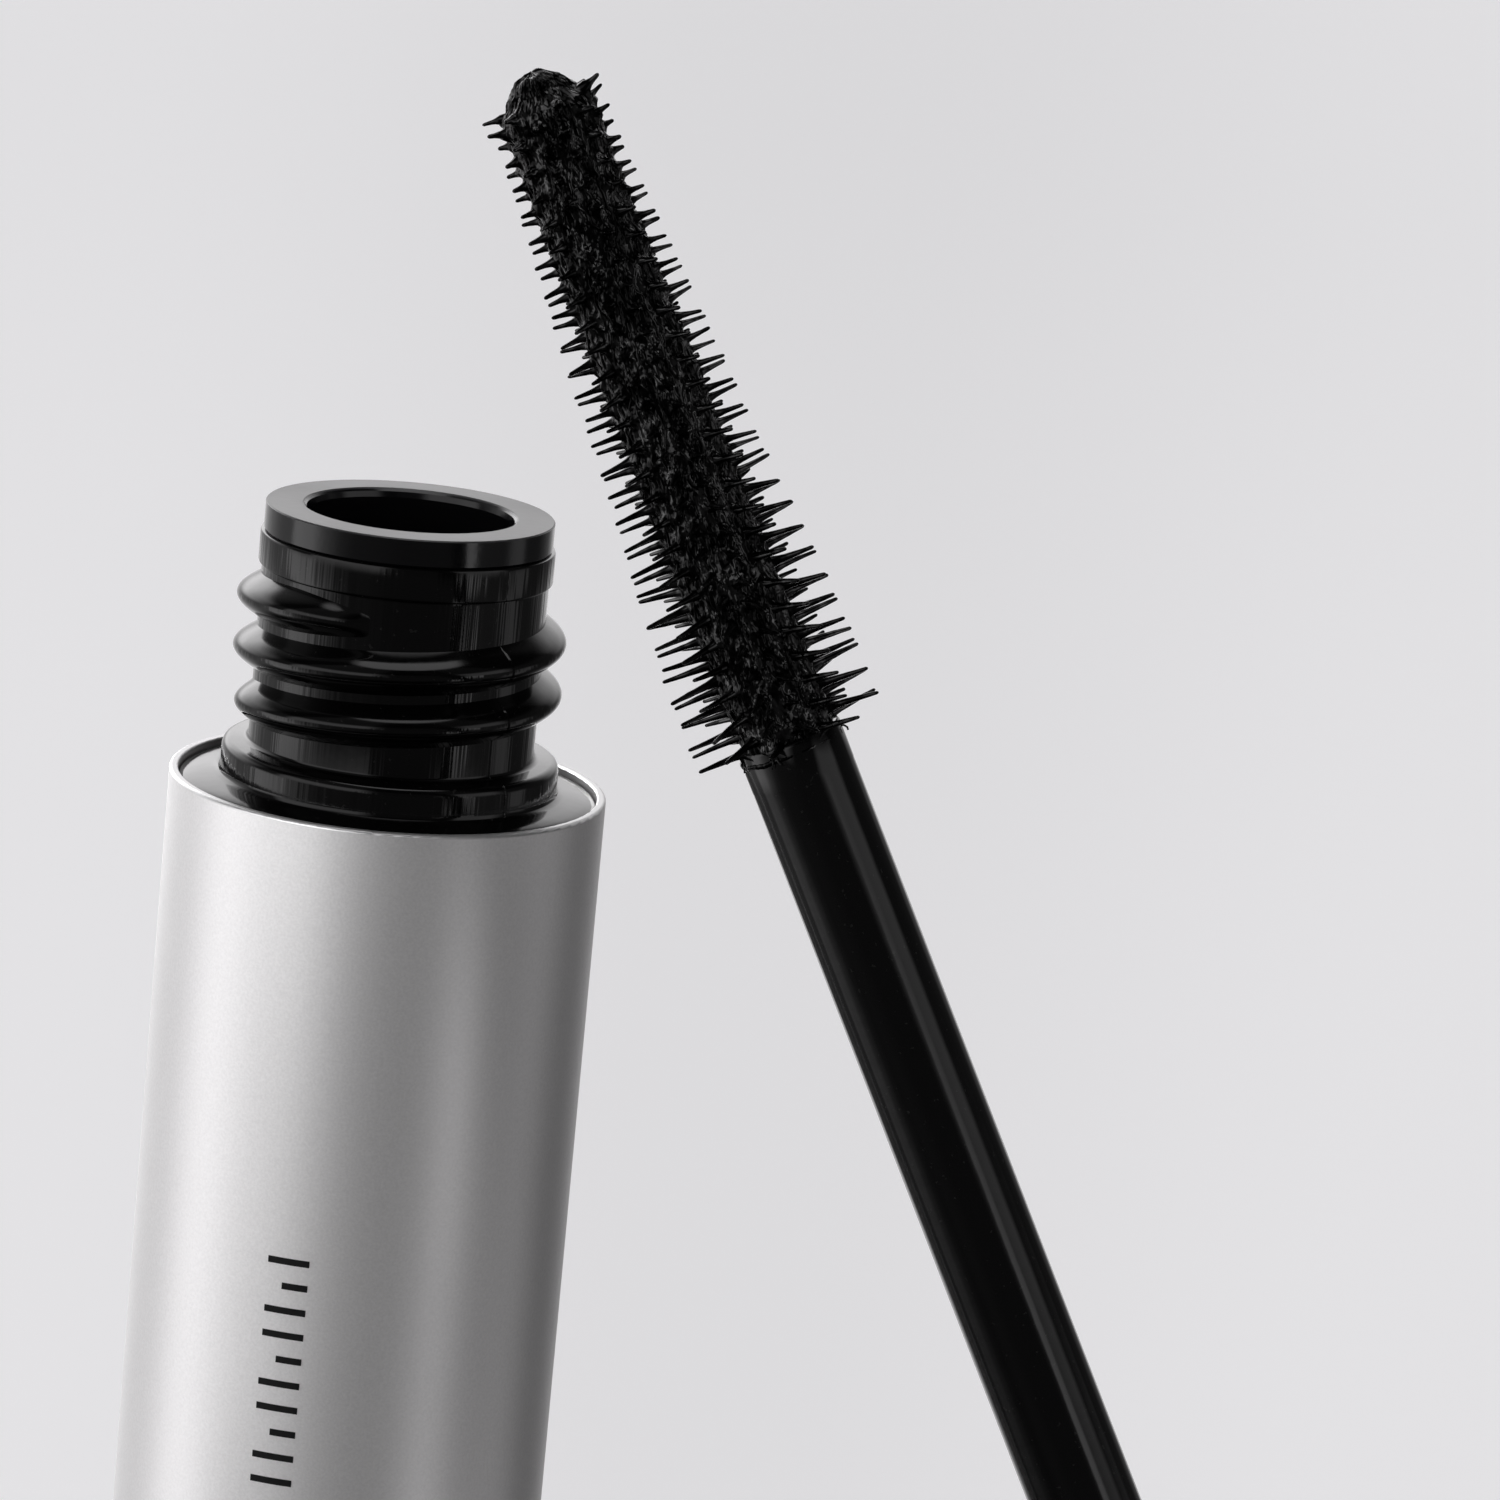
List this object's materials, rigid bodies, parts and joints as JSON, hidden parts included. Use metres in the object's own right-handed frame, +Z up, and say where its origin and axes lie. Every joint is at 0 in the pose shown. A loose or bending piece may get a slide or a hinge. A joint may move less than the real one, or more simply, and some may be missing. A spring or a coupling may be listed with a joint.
{
  "type": "mascara tube",
  "caption": "Open mascara: screw-neck bottle in an aluminium sleeve with a pressed-in wiper, and its applicator, a capped stem with a moulded brush coated in formula, beside it.",
  "frame": {"origin": "centre of the bottle's base, on the floor", "axes": "+Z up along the bottle's axis; the applicator leans beside it in a plane parallel to XZ, in front of it towards -Y"},
  "size_m": [0.0736, 0.0366, 0.1116],
  "materials": {
    "anodised_sleeve": "satin silver anodising, very fine grain",
    "anodised_cap": "satin silver anodising, very fine grain",
    "mark_ink": "flat black print",
    "black_gloss": "gloss black moulding",
    "black_gloss_bottle": "gloss black moulding with a parting line",
    "black_moulding": "satin black moulding",
    "label_white": "plain matt label",
    "wiper_soft": "semi-matt black soft moulding",
    "formula": "wet black formula",
    "wet_formula": "wet glossy black formula with streaks",
    "liner_soft": "soft pale foam liner",
    "weight_steel": "turned steel",
    "pad_foam": "dark foam",
    "stem_gloss": "gloss black moulding",
    "brush_moulding": "black moulding wet with formula",
    "core_steel": "drawn steel wire"
  },
  "bodies": {
    "bottle": {"outer_sleeve": "anodised_sleeve", "print_mark": "mark_ink", "base_plug": "black_gloss", "base_label": "label_white", "inner_bottle": "black_gloss_bottle", "wiper": "wiper_soft", "formula_fill": "formula"},
    "pin": {"brush_core": "core_steel"},
    "weight": {"cap_weight": "weight_steel"},
    "liner": {"seal_liner": "liner_soft"},
    "applicator": {"cap_shell": "anodised_cap", "inner_cap": "black_moulding", "cap_pad": "pad_foam", "stem": "stem_gloss", "brush": "brush_moulding", "formula_coat": "wet_formula"}
  },
  "joints": [
    {"name": "turn_over", "type": "hinge", "parent": "bottle", "child": "pin", "pos_m": [-0.01497, -0.01781, 0.09756], "axis": [-0.8968, -0.3901, -0.2088], "range_deg": [0, 169.62]},
    {"name": "insert", "type": "slide", "parent": "pin", "child": "weight", "axis": [-0.4418, 0, 0.8971], "range_m": [0, 0.084]},
    {"name": "thread_lead", "type": "slide", "parent": "weight", "child": "liner", "axis": [-0.4418, 0, 0.8971], "range_m": [0, 0.00371]},
    {"name": "cap_turn", "type": "hinge", "parent": "liner", "child": "applicator", "pos_m": [0.05717, -0.019, 0.00367], "axis": [-0.4418, 0, 0.8971], "range_deg": [0, 630]}
  ],
  "couplings": [
    {"joint": "thread_lead", "follows": "cap_turn", "m_per_rad": 0.00033741}
  ]
}
